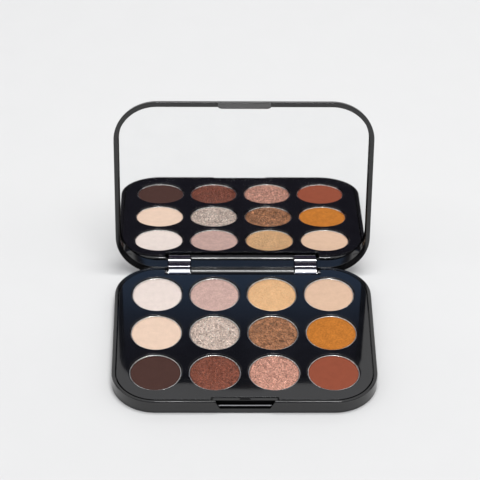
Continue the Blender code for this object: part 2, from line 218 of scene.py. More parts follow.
def outline(half_x, low_y, high_y, radius, steps=CORNER_STEPS):
    """(x, y) round a rounded rectangle, anticlockwise from the +X, -Y corner."""
    corners = (
        (half_x - radius, low_y + radius, -pi / 2),
        (half_x - radius, high_y - radius, 0.0),
        (radius - half_x, high_y - radius, pi / 2),
        (radius - half_x, low_y + radius, pi),
    )
    points = []
    for centre_x, centre_y, start in corners:
        for step in range(steps + 1):
            turn = start + step * pi / 2 / steps
            points.append((centre_x + radius * cos(turn), centre_y + radius * sin(turn)))
    return points


def level(shape, z):
    """A flat ring at height z."""
    return [(x, y, z) for x, y in shape]


def body_from(bm, name):
    bmesh.ops.recalc_face_normals(bm, faces=bm.faces)
    mesh = bpy.data.meshes.new(name)
    bm.to_mesh(mesh)
    bm.free()
    made = bpy.data.objects.new(name, mesh)
    bpy.context.scene.collection.objects.link(made)
    return made


def loft(name, loops):
    """A body through rings of the same number of points, with flat ends."""
    bm = bmesh.new()
    rings = [[bm.verts.new(point) for point in loop] for loop in loops]
    count = len(rings[0])
    for low, high in zip(rings, rings[1:]):
        for i in range(count):
            j = (i + 1) % count
            bm.faces.new((low[i], low[j], high[j], high[i]))
    bm.faces.new(rings[0][::-1])
    bm.faces.new(rings[-1])
    return body_from(bm, name)


def slab(name, half_x, low_y, high_y, radius, levels, steps=CORNER_STEPS):
    """A rounded plate: levels are (z, inset) pairs from the bottom up."""
    return loft(name, [
        level(outline(half_x - inset, low_y + inset, high_y - inset, radius - inset, steps), z)
        for z, inset in levels
    ])


def turned(name, centre, profile):
    """A body of revolution about a vertical axis: profile is (radius, z) pairs."""
    turns = [2 * pi * i / CIRCLE for i in range(CIRCLE)]
    return loft(name, [
        [(centre[0] + radius * cos(turn), centre[1] + radius * sin(turn), z) for turn in turns]
        for radius, z in profile
    ])


def rod(name, low_x, high_x, centre, radius, ease=0.0, segments=ROD_CIRCLE):
    """A round bar along X with eased ends. centre is its (y, z)."""
    ends = [(low_x, radius), (high_x, radius)]
    if ease:
        rises = quarter(ease, EDGE_STEPS)
        ends = [(low_x + ease - rise, radius - inset) for rise, inset in reversed(rises)]
        ends += [(high_x - ease + rise, radius - inset) for rise, inset in rises]
    turns = [2 * pi * i / segments for i in range(segments)]
    return loft(name, [
        [(x, centre[0] + size * cos(turn), centre[1] + size * sin(turn)) for turn in turns]
        for x, size in ends
    ])


def bar(name, low_x, high_x, section):
    """A prism along X of a section given as (y, z) points."""
    return loft(name, [[(x, y, z) for y, z in section] for x in (low_x, high_x)])


def box(name, low, high):
    section = ((low[1], low[2]), (high[1], low[2]), (high[1], high[2]), (low[1], high[2]))
    return bar(name, low[0], high[0], section)


def flare(top, edge, bottom=-2 * REACH):
    """Levels of a cutter from bottom, whose mouth leaves a rounded edge at height top."""
    levels = [(bottom, 0.0), (top - edge, 0.0)]
    levels += [(top - edge + rise, -inset) for rise, inset in quarter(edge, EDGE_STEPS)[1:]]
    return levels + [(top + 2 * REACH, -edge)]


def mirrored(side, inner, outer):
    """The ends along X of a piece on one side, from the lower to the higher."""
    return sorted((side * inner, side * outer))


def boolean(body, tool, operation="DIFFERENCE"):
    modifier = body.modifiers.new("cut", "BOOLEAN")
    modifier.operation = operation
    modifier.solver = "EXACT"
    modifier.object = tool
    bpy.context.view_layer.update()
    graph = bpy.context.evaluated_depsgraph_get()
    mesh = bpy.data.meshes.new_from_object(body.evaluated_get(graph))
    old = body.data
    body.modifiers.clear()
    body.data = mesh
    bpy.data.meshes.remove(old)
    bpy.data.objects.remove(tool)


def polish(body, edge=None):
    """Smooth shading, with a small round on the sharp edges where edge is given."""
    if edge:
        bevel = body.modifiers.new("edges", "BEVEL")
        bevel.width = edge
        bevel.segments = FINE_STEPS
        bevel.limit_method = "ANGLE"
        bevel.angle_limit = SHARP
        bevel.use_clamp_overlap = True
        bevel.harden_normals = False
    body.data.shade_smooth()
    body.data.set_sharp_from_angle(angle=SHARP)
    weighted = body.modifiers.new("shading", "WEIGHTED_NORMAL")
    weighted.keep_sharp = True


def finish_piece(piece, body, nodes, material):
    """Puts the finish on a piece, hangs it on its body, and hides the CAD nodes it stands for."""
    piece.data.materials.clear()
    piece.data.materials.append(material)
    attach(piece, body)
    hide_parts(*nodes)
    return piece


def opened(piece):
    """Turns a piece that was built closed, about the hinge axis, to its open place."""
    piece.data.transform(OPEN)
    return piece


# ---------------------------------------------------------------- material tools
class Look:
    """A procedural material on a Principled shader, placed by the piece's own coordinates in metres."""

    def __init__(self, name, **settings):
        self.made = bpy.data.materials.new(name)
        self.made.use_nodes = True
        self.tree = self.made.node_tree
        self.shader = self.tree.nodes["Principled BSDF"]
        self.place = self.tree.nodes.new("ShaderNodeTexCoord").outputs["Object"]
        for socket, value in settings.items():
            self.set(self.shader, socket.replace("_", " "), value)

    def set(self, node, socket, value):
        target = node.inputs[socket]
        if isinstance(value, bpy.types.NodeSocket):
            self.tree.links.new(value, target)
        elif isinstance(value, tuple) and len(value) == 3 and target.type == "RGBA":
            target.default_value = (*value, 1.0)
        else:
            target.default_value = value

    def use(self, socket, value):
        self.set(self.shader, socket, value)

    def add(self, kind, inputs, **settings):
        node = self.tree.nodes.new(kind)
        for name, value in settings.items():
            setattr(node, name, value)
        for socket, value in inputs.items():
            self.set(node, socket, value)
        return node

    def noise(self, size, detail=3.0, roughness=0.5, stretch=None):
        """A 0 to 1 noise with features of about this size in metres."""
        place = self.place
        if stretch:
            place = self.add("ShaderNodeMapping", {"Vector": self.place, "Scale": stretch}).outputs[0]
        return self.add(
            "ShaderNodeTexNoise",
            {"Vector": place, "Scale": 1 / size, "Detail": detail, "Roughness": roughness},
        ).outputs[0]

    def cells(self, size):
        return self.add("ShaderNodeTexVoronoi", {"Vector": self.place, "Scale": 1 / size, "Randomness": 1.0})

    def span(self, value, low, high, start=0.0, end=1.0):
        """Maps value from start..end to low..high."""
        return self.add("ShaderNodeMapRange", {0: value, 1: start, 2: end, 3: low, 4: high}).outputs[0]

    def math(self, operation, *values):
        return self.add("ShaderNodeMath", dict(enumerate(values)), operation=operation).outputs[0]

    def vector(self, operation, *values):
        return self.add("ShaderNodeVectorMath", dict(enumerate(values)), operation=operation).outputs[0]

    def split(self, colour):
        """The three channels of a colour."""
        return self.add("ShaderNodeSeparateColor", {0: colour}).outputs

    def grey(self, value):
        return self.add("ShaderNodeCombineColor", {0: value, 1: value, 2: value}).outputs[0]

    def mix(self, factor, first, second, blend="MIX"):
        node = self.add("ShaderNodeMix", {}, data_type="RGBA", blend_type=blend, clamp_result=True)
        self.set(node, 0, factor)
        self.set(node, 6, first)
        self.set(node, 7, second)
        return node.outputs[2]

    def toned(self, colour, tone):
        """A colour made darker or lighter by a grey tone."""
        return self.mix(1.0, colour, self.grey(tone), "MULTIPLY")

    def bump(self, height, distance, under=None):
        inputs = {"Height": height, "Distance": distance, "Strength": 1.0}
        if under is not None:
            inputs["Normal"] = under
        return self.add("ShaderNodeBump", inputs).outputs[0]


def shade(colour, factor):
    return tuple(min(1.0, channel * factor) for channel in colour)


# ---------------------------------------------------------------- finishes
# Sizes of the features in each finish, and heights of its bumps
SMEAR_SIZE = 14 * MM
GLOSS_GRAIN_SIZE = 0.35 * MM
HAIRLINE_SIZE = 0.5 * MM
PEEL_SIZE = 1.1 * MM
DRAWN_LINE_SIZE = 0.22 * MM
METAL_PATCH_SIZE = 2.5 * MM
SHADE_GRAIN_SIZE = 0.12 * MM
SHADE_GRAIN_HEIGHT = 0.01 * MM
MIRROR_SMEAR_SIZE = 9 * MM
DUST_SIZE = 0.3 * MM
FILM_GRAIN_SIZE = 0.6 * MM
FILM_HEIGHT = 0.02 * MM
CAKE_SIZE = 3.2 * MM
PRESS_SIZE = 1.2 * MM
PRESS_HEIGHT = 0.02 * MM


def plastic(name, colour, gloss, orange_peel, scratch):
    """Moulded gloss plastic: handling marks in the gloss, a faint orange peel and hairline scratches."""
    look = Look(name, IOR=1.6)
    smear = look.noise(SMEAR_SIZE, detail=4.0, roughness=0.6)
    fine = look.noise(GLOSS_GRAIN_SIZE)
    hair = look.noise(HAIRLINE_SIZE, detail=2.0, stretch=(0.04, 1.0, 1.0))
    patches = look.span(smear, 0.0, 1.0, start=0.35, end=0.65)
    look.use("Base Color", look.mix(patches, shade(colour, 0.8), shade(colour, 1.25)))
    rough = look.span(smear, gloss * 0.75, gloss * 1.35, start=0.3, end=0.7)
    look.use("Roughness", look.math("ADD", rough, look.span(fine, -0.02, 0.03)))
    peel = look.bump(look.noise(PEEL_SIZE, detail=2.0), orange_peel)
    look.use("Normal", look.bump(hair, scratch, under=peel))
    return look.made


def steel(name, colour, rough, grain):
    """Drawn metal: fine lines across X, a little duller in patches."""
    look = Look(name, Metallic=1.0)
    lines = look.noise(DRAWN_LINE_SIZE, roughness=0.6, stretch=(1.0, 0.06, 0.06))
    patches = look.noise(METAL_PATCH_SIZE)
    look.use("Base Color", look.mix(patches, shade(colour, 0.9), shade(colour, 1.05)))
    look.use("Roughness", look.span(lines, rough * 0.7, rough * 1.5, start=0.3, end=0.7))
    look.use("Normal", look.bump(lines, grain))
    return look.made


def painted_shade_black(name, colour):
    """Near-black, dull plastic with a fine grain: painted shade, standing in for the shade deep inside a
    recess.
    """
    look = Look(name, IOR=1.5)
    grain = look.noise(SHADE_GRAIN_SIZE, roughness=0.6)
    look.use("Base Color", look.mix(grain, shade(colour, 0.8), shade(colour, 1.2)))
    look.use("Roughness", look.span(grain, 0.55, 0.75))
    look.use("Specular IOR Level", 0.04)
    look.use("Normal", look.bump(grain, SHADE_GRAIN_HEIGHT))
    return look.made


def mirror_glass():
    """Silvered glass with a trace of dust and smears in its gloss."""
    look = Look("mirror_glass", Metallic=1.0)
    smear = look.noise(MIRROR_SMEAR_SIZE, detail=4.0, roughness=0.6)
    specks = look.noise(DUST_SIZE, detail=4.0, roughness=0.7)
    patches = look.span(smear, 0.0, 1.0, start=0.3, end=0.7)
    look.use("Base Color", look.mix(patches, (0.965, 0.97, 0.97), (0.985, 0.988, 0.988)))
    dust = look.span(specks, 0.0, 1.0, start=0.66, end=0.8)
    base = look.span(smear, 0.012, 0.03, start=0.3, end=0.7)
    look.use("Roughness", look.math("MULTIPLY_ADD", dust, 0.04, base))
    return look.made


def adhesive():
    """Double-sided film, dull and faintly grained."""
    look = Look("adhesive_film", Base_Color=(0.75, 0.74, 0.70))
    grain = look.noise(FILM_GRAIN_SIZE, detail=4.0)
    look.use("Roughness", look.span(grain, 0.6, 0.85))
    look.use("Normal", look.bump(grain, FILM_HEIGHT))
    return look.made


# Pressed powders: grain size in mm, how far the grain and the cake vary in tone, and grain height in mm
GRAINS = {
    "matte": (0.28, 0.07, 0.035, 0.035),
    "grainy": (0.6, 0.34, 0.08, 0.035),
    "satin": (0.5, 0.26, 0.09, 0.03),
    "shimmer": (0.28, 0.12, 0.035, 0.03),
    "glitter": (0.28, 0.16, 0.035, 0.05),
    "sparkle": (0.28, 0.16, 0.16, 0.05),
}
# Flakes: small and large cell in mm, tilt, and the tones from the large and the small cells
FLAKES = {
    "shimmer": (0.2, 0.42, 0.25, (0.93, 1.09), (0.94, 1.07)),
    "glitter": (0.26, 0.38, 0.6, (0.4, 1.7), (0.55, 1.5)),
    "sparkle": (0.28, 0.42, 0.6, (0.3, 1.95), (0.5, 1.55)),
}
DULL = ("matte", "grainy")
COARSE = ("glitter", "sparkle")


def powder(name, colour, finish):
    """Pressed powder, with flakes where the finish has them."""
    look = Look(name, IOR=1.45)
    grain_size, spread, patchy, height = GRAINS[finish]
    cake = look.noise(CAKE_SIZE, detail=4.0, roughness=0.6)
    grain = look.noise(grain_size * MM, roughness=0.65)
    press = look.noise(PRESS_SIZE, roughness=0.55)
    patches = look.span(cake, 0.0, 1.0, start=0.35, end=0.65)
    tone = look.mix(patches, shade(colour, 1 - patchy), shade(colour, 1 + patchy))
    tone = look.toned(tone, look.span(grain, 1 - spread, 1 + spread, start=0.3, end=0.7))
    normal = look.bump(grain, height * MM, under=look.bump(press, PRESS_HEIGHT))
    if finish in FLAKES:
        tone, normal = flakes(look, tone, normal, *FLAKES[finish])
    elif finish in DULL:
        look.use("Roughness", look.span(grain, 0.82, 0.95))
        look.use("Specular IOR Level", 0.25)
    else:
        look.use("Metallic", look.span(grain, 0.15, 0.45, start=0.35, end=0.7))
        look.use("Roughness", look.span(grain, 0.42, 0.6))
    look.use("Base Color", tone)
    look.use("Normal", normal)
    return look.made


def flakes(look, tone, normal, small_size, large_size, tilt, large_tones, small_tones):
    """Adds flakes: each cell tilts its own way, and some of them are bare metal."""
    small = look.cells(small_size * MM).outputs["Color"]
    large = look.cells(large_size * MM).outputs["Color"]
    small_pick = look.split(small)
    large_pick = look.split(large)
    middle = (0.5, 0.5, 0.5)
    both = look.vector("ADD", look.vector("SUBTRACT", small, middle), look.vector("SUBTRACT", large, middle))
    lean = look.add("ShaderNodeVectorMath", {0: both, "Scale": tilt}, operation="SCALE").outputs[0]
    tone = look.toned(tone, look.span(large_pick[0], *large_tones))
    tone = look.toned(tone, look.span(small_pick[1], *small_tones))
    look.use("Metallic", look.span(small_pick[2], 0.2, 0.95, start=0.35, end=0.75))
    look.use("Roughness", look.span(large_pick[1], 0.3, 0.5))
    return tone, look.vector("NORMALIZE", look.vector("ADD", normal, lean))


# ---------------------------------------------------------------- base
def rear_share(normal_y):
    """0 round the front and sides of the case and 1 along its rear, with a smooth change between."""
    share = min(1.0, max(0.0, (normal_y - REAR_START) / REAR_SPAN))
    return share * share * (3 - 2 * share)


def case_ring(height, inset, top_rise=None):
    """A ring round the case. With top_rise it lies on the rim's round, which is larger at the rear."""
    loop = []
    for i, (x, y) in enumerate(outline(case_half_x, -case_half_y, case_half_y, CASE_RADIUS)):
        corner, step = divmod(i, CORNER_STEPS + 1)
        turn = (corner - 1) * pi / 2 + step * pi / 2 / CORNER_STEPS
        z, across = height, inset
        if top_rise is not None:
            radius = TOP_ROUND + (REAR_ROUND - TOP_ROUND) * rear_share(sin(turn))
            z = height - radius * (1 - top_rise)
            across = radius * inset
        loop.append((x - across * cos(turn), y - across * sin(turn), z))
    return loop


def case_loops():
    """Rings from the underside, round the outside and over the rim, down to the inner floor."""
    rings = [case_ring(BOTTOM_ROUND - rise, inset) for rise, inset in reversed(quarter(BOTTOM_ROUND))]
    rings += [case_ring(base_height, inset, rise) for rise, inset in quarter(1.0)]
    inner = (deck_high.x + GAP, deck_low.y - GAP, deck_high.y + GAP, DECK_RADIUS + GAP)
    for rise, inset in reversed(quarter(FINE_EDGE, FINE_STEPS)):
        shape = outline(inner[0] + inset, inner[1] - inset, inner[2] + inset, inner[3] + inset)
        rings.append(level(shape, base_height - FINE_EDGE + rise))
    rings.append(level(outline(*inner), BASE_FLOOR))
    return rings


def recess_cutter():
    """The latch recess: wider at the top, with a back wall that overhangs."""
    outside = -case_half_y - REACH
    lean = (RECESS_BACK_TOP - RECESS_BACK_BOTTOM) / (base_height - RECESS_FLOOR_Z)
    centre_z = RECESS_FLOOR_Z + RECESS_EASE
    grow = (RECESS_HALF_TOP - RECESS_HALF_BOTTOM) / (base_height - centre_z)
    half = []
    for step in range(ROUND_STEPS + 1):
        turn = -pi / 2 * (1 - step / ROUND_STEPS)
        x = RECESS_HALF_BOTTOM - RECESS_EASE + RECESS_EASE * cos(turn)
        half.append((x, centre_z + RECESS_EASE * sin(turn)))
    for rise, inset in quarter(EDGE, EDGE_STEPS):
        z = base_height - EDGE + rise
        half.append((RECESS_HALF_BOTTOM + grow * (z - centre_z) + inset, z))
    half.append((half[-1][0], base_height + REACH))
    section = half + [(-x, z) for x, z in reversed(half)]
    back = [(x, RECESS_BACK_BOTTOM + lean * (min(z, base_height) - RECESS_FLOOR_Z), z) for x, z in section]
    return loft("recess_cutter", [back, [(x, outside, z) for x, z in section]])


def add_latch(shell):
    """The platform behind the latch, its recess, the catch wire's hole and the finger slot."""
    low = (-PLATFORM_HALF_X, deck_low.y - GAP - OVERLAP, BASE_FLOOR - OVERLAP)
    boolean(shell, box("platform", low, (PLATFORM_HALF_X, PLATFORM_BACK, base_height)), "UNION")
    boolean(shell, recess_cutter())
    centre = (catch_low + catch_high) / 2
    reach = catch_high.x + PIN_CLEARANCE
    radius = (catch_high.z - catch_low.z) / 2 + PIN_CLEARANCE
    boolean(shell, rod("hole", -reach, reach, (centre.y, centre.z), radius, segments=HOLE_CIRCLE))
    levels = [(base_height - SLOT_DEPTH, 0), (base_height - EDGE, 0)]
    levels += [(base_height, -EDGE), (base_height + REACH, -EDGE)]
    boolean(shell, slab("slot", SLOT_HALF_X, SLOT_FRONT, SLOT_BACK, SLOT_CORNER, levels, ROUND_STEPS))


def add_hinge(shell):
    """The notch at the rear, the barrel on its web, and a cheek, a collar and a pin hole on each side."""
    axis = (hinge.y, hinge.z)
    levels = flare(base_height, EDGE, NOTCH_FLOOR)
    rear = case_half_y + 3 * REACH
    boolean(shell, slab("notch", NOTCH_HALF_X, NOTCH_FRONT, rear, NOTCH_CORNER, levels, EDGE_STEPS))
    web = box("web", (-BARREL_HALF_X, WEB_FRONT, BASE_FLOOR - OVERLAP), (BARREL_HALF_X, WEB_REAR, hinge.z))
    boolean(shell, web, "UNION")
    barrel = rod("barrel", -BARREL_HALF_X, BARREL_HALF_X, axis, barrel_radius, BARREL_EASE, CIRCLE)
    boolean(shell, barrel, "UNION")
    for side in (-1, 1):
        ends = mirrored(side, NOTCH_HALF_X, CHEEK_OUT_X)
        low = (ends[0], CHEEK_FRONT, BASE_FLOOR - OVERLAP)
        boolean(shell, box("cheek", low, (ends[1], CHEEK_REAR, CHEEK_TOP)), "UNION")
        ends = mirrored(side, knuckle_high.x + GAP, NOTCH_HALF_X + OVERLAP)
        boolean(shell, rod("collar", *ends, axis, COLLAR_RADIUS, COLLAR_EASE), "UNION")
        ends = mirrored(side, pin_low.x - GAP, pin_high.x + GAP)
        boolean(shell, rod("pin_hole", *ends, axis, hinge_pin_radius + PIN_CLEARANCE, segments=HOLE_CIRCLE))


def base_shell(material, recess_shade_material):
    shell = loft("case_base", case_loops())
    add_latch(shell)
    add_hinge(shell)
    polish(shell, FINE_EDGE)
    finish_piece(shell, "base", ["base_shell"], material)
    shell.data.materials.append(recess_shade_material)
    # The latch recess's walls and floor get the near-black material: painted shade for the dark inside of
    # the recess.
    for face in shell.data.polygons:
        place = face.center
        if abs(place.x) < RECESS_HALF_TOP and -case_half_y + EDGE < place.y < PLATFORM_BACK - EDGE:
            face.material_index = int(RECESS_FLOOR_Z - EDGE < place.z < base_height - EDGE)
    return shell


def deck_plate():
    """The insert before its wells: a plate with a skirt, hollow underneath."""
    levels = [(deck_low.z, SEAM), (base_height - DECK_EDGE, SEAM)]
    for rise, inset in quarter(DECK_EDGE, EDGE_STEPS)[1:]:
        levels.append((base_height - DECK_EDGE + rise, SEAM + inset))
    tray = slab("deck", deck_high.x, deck_low.y, deck_high.y, DECK_RADIUS, levels)
    under = slab(
        "under", deck_high.x - DECK_SKIRT, deck_low.y + DECK_SKIRT, deck_high.y - DECK_SKIRT,
        DECK_RADIUS - DECK_SKIRT, [(-REACH, 0), (base_height - DECK_PLATE, 0)],
    )
    boolean(tray, under)
    return tray


def add_wells(tray, wells):
    """A cup and a soft-edged well for each pan's (low, high)."""
    places = [((low + high) / 2, (high.x - low.x) / 2 + GAP, low.z - GAP) for low, high in wells]
    for centre, radius, _ in places:
        wall = radius + CUP_WALL
        cup = turned("cup", centre, [(wall, deck_low.z), (wall, base_height - 0.5 * DECK_PLATE)])
        boolean(tray, cup, "UNION")
    for centre, radius, bottom in places:
        profile = [(radius, bottom), (radius, base_height - WELL_EDGE)]
        for rise, inset in quarter(WELL_EDGE, RIM_STEPS)[1:]:
            profile.append((radius + inset, base_height - WELL_EDGE + rise))
        profile.append((radius + WELL_EDGE, base_height + REACH))
        boolean(tray, turned("well", centre, profile))


def deck_tray(wells, material):
    """The insert, with a softened edge round each well and gaps for the latch and the hinge."""
    tray = deck_plate()
    add_wells(tray, wells)
    margin = GAP + SEAM
    latch_gap = slab(
        "latch_gap", PLATFORM_HALF_X + margin, deck_low.y - 3 * REACH, PLATFORM_BACK + margin,
        PLATFORM_CORNER, flare(base_height, EDGE), EDGE_STEPS,
    )
    boolean(tray, latch_gap)
    hinge_gap = slab(
        "hinge_gap", NOTCH_HALF_X, NOTCH_FRONT, deck_high.y + 3 * REACH,
        NOTCH_CORNER, flare(base_height, DECK_EDGE), EDGE_STEPS,
    )
    boolean(tray, hinge_gap)
    for side in (-1, 1):
        ends = mirrored(side, NOTCH_HALF_X - REACH, CHEEK_OUT_X + GAP)
        high = (ends[1], deck_high.y + REACH, CHEEK_TOP + GAP)
        boolean(tray, box("cheek_gap", (ends[0], CHEEK_FRONT - GAP, -REACH), high))
    polish(tray)
    return finish_piece(tray, "base", ["deck_tray"], material)


def pan(row, column, material):
    """A pressed pan: a rounded foot, a rolled rim and a hollow with a rounded corner."""
    node = f"pan_r{row}c{column}"
    low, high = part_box(node)
    radius = (high.x - low.x) / 2
    inside = radius - PAN_WALL
    bead = PAN_WALL / 2
    corner = np.linspace(0, pi / 2, PAN_STEPS)
    profile = []
    for turn in corner:
        profile.append((radius - PAN_CORNER * (1 - sin(turn)), low.z + PAN_CORNER * (1 - cos(turn))))
    for turn in np.linspace(0, pi, BEAD_STEPS):
        profile.append((radius - bead + bead * cos(turn), high.z - bead + bead * sin(turn)))
    for turn in corner:
        z = low.z + PAN_BASE + PAN_CORNER * (1 - sin(turn))
        profile.append((inside - PAN_CORNER * (1 - cos(turn)), z))
    cup = turned(f"tin_r{row}c{column}", (low + high) / 2, profile)
    polish(cup)
    return finish_piece(cup, "base", [node], material)


def powder_levels(radius, depth):
    """(radius, drop) of the cake's rings, from near the middle, over the edge and down the side."""
    flat = radius - POWDER_ROUND
    levels = [(flat * (i + 1) / POWDER_RINGS, 0.0) for i in range(POWDER_RINGS)]
    levels += [(flat + rise, inset) for rise, inset in quarter(POWDER_ROUND, RIM_STEPS)[1:]]
    return levels + [(radius, POWDER_ROUND + POWDER_SIDE), (radius - POWDER_TAPER, depth - POWDER_LIFT)]


def powder_cake(row, column, material, relief, clearance, generator):
    """Pressed powder: a slightly uneven face, with a soft edge that has crumbled a little."""
    node = f"powder_r{row}c{column}"
    low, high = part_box(node)
    pan_low, pan_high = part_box(f"pan_r{row}c{column}")
    centre = (low + high) / 2
    radius = (pan_high.x - pan_low.x) / 2 - PAN_WALL - clearance
    flat = radius - POWDER_ROUND
    waves = [
        (generator.uniform(*WAVE_COUNTS), generator.uniform(0, 2 * pi), generator.uniform(0, 2 * pi))
        for _ in range(WAVES)
    ]
    crumbs = [
        (int(generator.integers(*CRUMB_COUNTS)), generator.uniform(0, 2 * pi))
        for _ in range(CRUMBS)
    ]

    def height(x, y):
        total = 0.0
        for count, heading, phase in waves:
            along = x * cos(heading) + y * sin(heading)
            total += sin(count * along / WAVE_LENGTH + phase)
        return relief * total / WAVES

    def crumbled(size, drop, turn):
        """The radius with what the edge has lost, none of it near the middle or down the side."""
        if drop > POWDER_ROUND:
            return size
        share = min(1.0, max(0.0, (size / flat - CRUMBLE_START) / (1 - CRUMBLE_START)))
        ripple = sum(sin(count * turn + phase) for count, phase in crumbs) / CRUMBS
        return size + (CRUMBLE * ripple - CRUMBLE_LOSS) * share

    bm = bmesh.new()
    middle = bm.verts.new((centre.x, centre.y, high.z + height(0, 0)))
    loops = []
    for size, drop in powder_levels(radius, high.z - low.z):
        loop = []
        for j in range(POWDER_SPOKES):
            turn = 2 * pi * j / POWDER_SPOKES
            across = crumbled(size, drop, turn)
            x = across * cos(turn)
            y = across * sin(turn)
            loop.append(bm.verts.new((centre.x + x, centre.y + y, high.z - drop + height(x, y))))
        loops.append(loop)
    for j in range(POWDER_SPOKES):
        k = (j + 1) % POWDER_SPOKES
        bm.faces.new((middle, loops[0][j], loops[0][k]))
        for inner, outer in zip(loops, loops[1:]):
            bm.faces.new((inner[j], outer[j], outer[k], inner[k]))
    bm.faces.new(loops[-1][::-1])
    cake = body_from(bm, f"cake_r{row}c{column}")
    cake.data.shade_smooth()
    return finish_piece(cake, "base", [node], material)


def steel_pin(name, node, material):
    low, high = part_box(node)
    centre = (low + high) / 2
    radius = (high.z - low.z) / 2
    pin = rod(name, low.x, high.x, (centre.y, centre.z), radius, radius * PIN_EASE_SHARE, PIN_CIRCLE)
    polish(pin)
    return finish_piece(pin, "base", [node], material)


# ---------------------------------------------------------------- lid, built closed about the hinge axis
def lid_ring(z, side, front=None, rear=None):
    """A ring round the lid at height z. Front and rear are inset as far as the sides unless given."""
    front = side if front is None else front
    rear = side if rear is None else rear
    shape = outline(lid_high.x - side, lid_low.y + front, lid_high.y - rear, CASE_RADIUS - side)
    return level(shape, z)


def lid_cover():
    """The cover: the mirror's recess, a sloping surround, the rim and a softly rounded back."""
    seat = outline(mirror_high.x + GAP, mirror_low.y - GAP, mirror_high.y + GAP, MIRROR_RADIUS + GAP)
    rings = [level(seat, lid_high.z - LID_BACK_WALL), level(seat, mirror_low.z - MIRROR_LIP)]
    for rise, inset in quarter(RIM_INNER_ROUND, RIM_STEPS):
        grow = RIM_INNER_ROUND - inset
        z = rim_z + RIM_INNER_ROUND - rise
        rings.append(lid_ring(z, RIM_SIDE + grow, RIM_FRONT + grow, RIM_REAR + grow))
    for rise, inset in reversed(quarter(RIM_EASE, RIM_STEPS)):
        rings.append(lid_ring(rim_z + RIM_EASE - rise, inset))
    for rise, inset in quarter(LID_ROUND, LID_STEPS):
        rings.append(lid_ring(lid_high.z - LID_ROUND + rise, inset))
    return loft("case_lid", rings)


def add_tab(shell):
    """The latch tab, set back from the front, with a fillet where it leaves the rim."""
    front = lid_low.y + TAB_SETBACK
    rounds = quarter(TAB_EDGE, FINE_STEPS)
    levels = [(front + TAB_EDGE - rise, inset) for rise, inset in reversed(rounds)]
    levels += [(front + TAB_THICKNESS - TAB_EDGE + rise, inset) for rise, inset in rounds]
    loops = []
    for y, inset in levels:
        shape = outline(TAB_HALF_X - inset, lid_low.z + inset, rim_z + TAB_ROOT, TAB_EASE - inset, TAB_STEPS)
        loops.append([(x, y, z) for x, z in shape])
    boolean(shell, loft("tab", loops), "UNION")
    section = [(front + TAB_EDGE, rim_z + TAB_EDGE), (front - TAB_FILLET, rim_z + TAB_EDGE)]
    section += [(front - TAB_FILLET + rise, rim_z - inset) for rise, inset in quarter(TAB_FILLET)]
    section.append((front + TAB_EDGE, rim_z - TAB_FILLET))
    boolean(shell, bar("fillet", EDGE - TAB_HALF_X, TAB_HALF_X - EDGE, section), "UNION")


def lid_shell(material):
    shell = lid_cover()
    add_tab(shell)
    for side in (-1, 1):
        ends = mirrored(side, knuckle_low.x - GAP, knuckle_high.x + GAP)
        low = (ends[0], leaf_front - GAP, rim_z - REACH)
        boolean(shell, box("seat", low, (ends[1], LEAF_IN + GAP, leaf_back + GAP)))
    opened(shell)
    polish(shell)
    return finish_piece(shell, "lid", ["lid_shell"], material)


def mirror(material):
    levels = [(mirror_low.z, MIRROR_BEVEL), (mirror_low.z + MIRROR_BEVEL, 0), (mirror_high.z, 0)]
    glass = slab("glass", mirror_high.x, mirror_low.y, mirror_high.y, MIRROR_RADIUS, levels)
    opened(glass)
    polish(glass)
    return finish_piece(glass, "lid", ["mirror"], material)


def hinge_knuckle(word, side, material):
    """A rolled knuckle with its leaf along the rim, turned up at the mirror."""
    ends = mirrored(side, knuckle_low.x, knuckle_high.x)
    knuckle = rod(f"knuckle_{word}", *ends, (0, 0), barrel_radius, KNUCKLE_EASE, CIRCLE)
    section = [(LEAF_IN, 0), (LEAF_IN, leaf_back), (leaf_front, leaf_back)]
    for step in range(ROUND_STEPS + 1):
        turn = pi + step * pi / 2 / ROUND_STEPS
        y = leaf_front + LEAF_EASE + LEAF_EASE * cos(turn)
        section.append((y, LEAF_BEND + LEAF_EASE + LEAF_EASE * sin(turn)))
    section += [(LEAF_OUT, LEAF_BEND), (LEAF_OUT, 0)]
    boolean(knuckle, bar("leaf", *ends, section), "UNION")
    radius = hinge_pin_radius + PIN_CLEARANCE
    boolean(knuckle, rod("hole", ends[0] - REACH, ends[1] + REACH, (0, 0), radius, segments=HOLE_CIRCLE))
    opened(knuckle)
    polish(knuckle, FINE_EDGE)
    return finish_piece(knuckle, "lid", [f"hinge_knuckle_{word}"], material)


# ---------------------------------------------------------------- the palette
# Name, colour and finish of the powder in each (row, column), from the rear left
POWDERS = {
    (1, 1): ("ivory", (0.625, 0.538, 0.494), "matte"),
    (1, 2): ("mauve", (0.535, 0.357, 0.313), "satin"),
    (1, 3): ("gold", (0.813, 0.487, 0.246), "shimmer"),
    (1, 4): ("peach", (0.566, 0.3865, 0.2752), "matte"),
    (2, 1): ("cream", (0.628, 0.468, 0.366), "matte"),
    (2, 2): ("champagne", (0.605, 0.466, 0.395), "glitter"),
    (2, 3): ("bronze", (0.306, 0.1375, 0.0675), "sparkle"),
    (2, 4): ("ochre", (0.3959, 0.1341, 0.01897), "grainy"),
    (3, 1): ("espresso", (0.05088, 0.02266, 0.01835), "matte"),
    (3, 2): ("copper", (0.1989, 0.0601, 0.03626), "glitter"),
    (3, 3): ("rose_gold", (0.5544, 0.271, 0.2015), "glitter"),
    (3, 4): ("terracotta", (0.218, 0.05433, 0.02822), "matte"),
}

case_black = plastic("case_black", (0.006, 0.006, 0.0065), 0.06, 0.0015 * MM, 0.0004 * MM)
deck_black = plastic("deck_black", (0.0042, 0.0044, 0.0058), 0.045, 0.0012 * MM, 0.0003 * MM)
